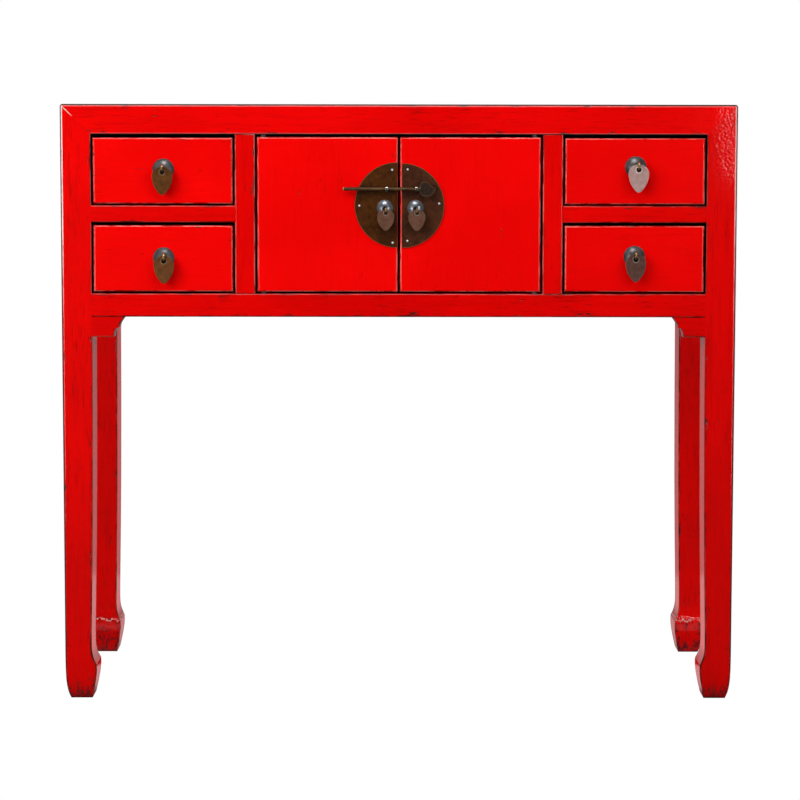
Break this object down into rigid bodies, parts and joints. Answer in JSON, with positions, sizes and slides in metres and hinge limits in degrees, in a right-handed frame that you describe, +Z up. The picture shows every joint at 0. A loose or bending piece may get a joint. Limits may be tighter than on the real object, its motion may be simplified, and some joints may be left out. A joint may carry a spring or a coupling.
{
  "type": "console cabinet",
  "caption": "Tall narrow console cabinet in red lacquer on hoof-foot legs, with drawers either side of a pair of doors, a round lock plate with a sliding bolt and leaf-shaped drop pulls.",
  "frame": {"origin": "middle of the bounding box, on the floor", "axes": "+X to the right along the width, as seen from the front, +Y from the front to the back, +Z up"},
  "size_m": [0.9, 0.4098, 0.8],
  "materials": {
    "red_lacquer": "glossy red lacquer over wood, worn to a dark undercoat at the edges",
    "bare_wood": "plain brown wood",
    "dark_bronze": "dark brown patina, satin",
    "bronze": "brown patina, satin",
    "brass": "rubbed brass",
    "steel": "dull steel"
  },
  "bodies": {
    "carcass": {"leg_front_left": "red_lacquer", "leg_front_right": "red_lacquer", "leg_rear_left": "red_lacquer", "leg_rear_right": "red_lacquer", "top_rail_front": "red_lacquer", "top_rail_rear": "red_lacquer", "top_rails_side": "red_lacquer", "top_panel": "red_lacquer", "bottom_rail_front": "red_lacquer", "bottom_rail_rear": "red_lacquer", "bottom_rails_side": "red_lacquer", "brackets": "red_lacquer", "stiles": "red_lacquer", "drawer_rails": "red_lacquer", "partitions": "bare_wood", "side_panels": "red_lacquer", "back_panel": "bare_wood", "bottom_panel": "bare_wood", "drawer_runners": "bare_wood"},
    "drawer_upper_left": {"drawer_upper_left_front": "red_lacquer", "drawer_upper_left_walls": "bare_wood", "drawer_upper_left_bottom": "bare_wood", "drawer_upper_left_boss": "steel", "drawer_upper_left_pin": "brass"},
    "drawer_upper_right": {"drawer_upper_right_front": "red_lacquer", "drawer_upper_right_walls": "bare_wood", "drawer_upper_right_bottom": "bare_wood", "drawer_upper_right_boss": "steel", "drawer_upper_right_pin": "brass"},
    "drawer_lower_left": {"drawer_lower_left_front": "red_lacquer", "drawer_lower_left_walls": "bare_wood", "drawer_lower_left_bottom": "bare_wood", "drawer_lower_left_boss": "steel", "drawer_lower_left_pin": "brass"},
    "drawer_lower_right": {"drawer_lower_right_front": "red_lacquer", "drawer_lower_right_walls": "bare_wood", "drawer_lower_right_bottom": "bare_wood", "drawer_lower_right_boss": "steel", "drawer_lower_right_pin": "brass"},
    "door_left": {"door_left_panel": "red_lacquer", "door_left_pivots": "steel", "door_left_plate": "dark_bronze", "door_left_nails": "steel", "door_left_eye": "brass", "door_left_boss": "steel", "door_left_pin": "brass"},
    "door_right": {"door_right_panel": "red_lacquer", "door_right_pivots": "steel", "door_right_plate": "dark_bronze", "door_right_nails": "steel", "door_right_eye": "brass", "door_right_boss": "steel", "door_right_pin": "brass"},
    "bolt": {"bolt": "dark_bronze"},
    "pull_drawer_upper_left": {"drawer_upper_left_leaf": "bronze"},
    "pull_drawer_upper_right": {"drawer_upper_right_leaf": "bronze"},
    "pull_drawer_lower_left": {"drawer_lower_left_leaf": "bronze"},
    "pull_drawer_lower_right": {"drawer_lower_right_leaf": "bronze"},
    "pull_door_left": {"door_left_leaf": "bronze"},
    "pull_door_right": {"door_right_leaf": "bronze"}
  },
  "joints": [
    {"name": "bolt_slide", "type": "slide", "parent": "door_right", "child": "bolt", "axis": [1, 0, 0], "range_m": [0, 0.08]},
    {"name": "door_left_swing", "type": "hinge", "parent": "carcass", "child": "door_left", "pos_m": [-0.1805, -0.1826, 0.6542], "axis": [0, 0, -1], "range_deg": [0, 90]},
    {"name": "door_right_swing", "type": "hinge", "parent": "carcass", "child": "door_right", "pos_m": [0.1805, -0.1826, 0.6542], "axis": [0, 0, 1], "range_deg": [0, 90]},
    {"name": "drawer_lower_left_slide", "type": "slide", "parent": "carcass", "child": "drawer_lower_left", "axis": [0, -1, 0], "range_m": [0, 0.24]},
    {"name": "drawer_lower_right_slide", "type": "slide", "parent": "carcass", "child": "drawer_lower_right", "axis": [0, -1, 0], "range_m": [0, 0.24]},
    {"name": "drawer_upper_left_slide", "type": "slide", "parent": "carcass", "child": "drawer_upper_left", "axis": [0, -1, 0], "range_m": [0, 0.24]},
    {"name": "drawer_upper_right_slide", "type": "slide", "parent": "carcass", "child": "drawer_upper_right", "axis": [0, -1, 0], "range_m": [0, 0.24]},
    {"name": "pull_door_left_swing", "type": "hinge", "parent": "door_left", "child": "pull_door_left", "pos_m": [-0.0174, -0.1988, 0.6601], "axis": [-1, 0, 0], "range_deg": [-13, 80]},
    {"name": "pull_door_right_swing", "type": "hinge", "parent": "door_right", "child": "pull_door_right", "pos_m": [0.024, -0.1988, 0.6599], "axis": [-1, 0, 0], "range_deg": [-13, 80]},
    {"name": "pull_drawer_lower_left_swing", "type": "hinge", "parent": "drawer_lower_left", "child": "pull_drawer_lower_left", "pos_m": [-0.3123, -0.1992, 0.5977], "axis": [-1, 0, 0], "range_deg": [-14, 80]},
    {"name": "pull_drawer_lower_right_swing", "type": "hinge", "parent": "drawer_lower_right", "child": "pull_drawer_lower_right", "pos_m": [0.315, -0.1992, 0.6005], "axis": [-1, 0, 0], "range_deg": [-14, 80]},
    {"name": "pull_drawer_upper_left_swing", "type": "hinge", "parent": "drawer_upper_left", "child": "pull_drawer_upper_left", "pos_m": [-0.3138, -0.1992, 0.7154], "axis": [-1, 0, 0], "range_deg": [-14, 80]},
    {"name": "pull_drawer_upper_right_swing", "type": "hinge", "parent": "drawer_upper_right", "child": "pull_drawer_upper_right", "pos_m": [0.3179, -0.1992, 0.7193], "axis": [-1, 0, 0], "range_deg": [-14, 80]}
  ]
}
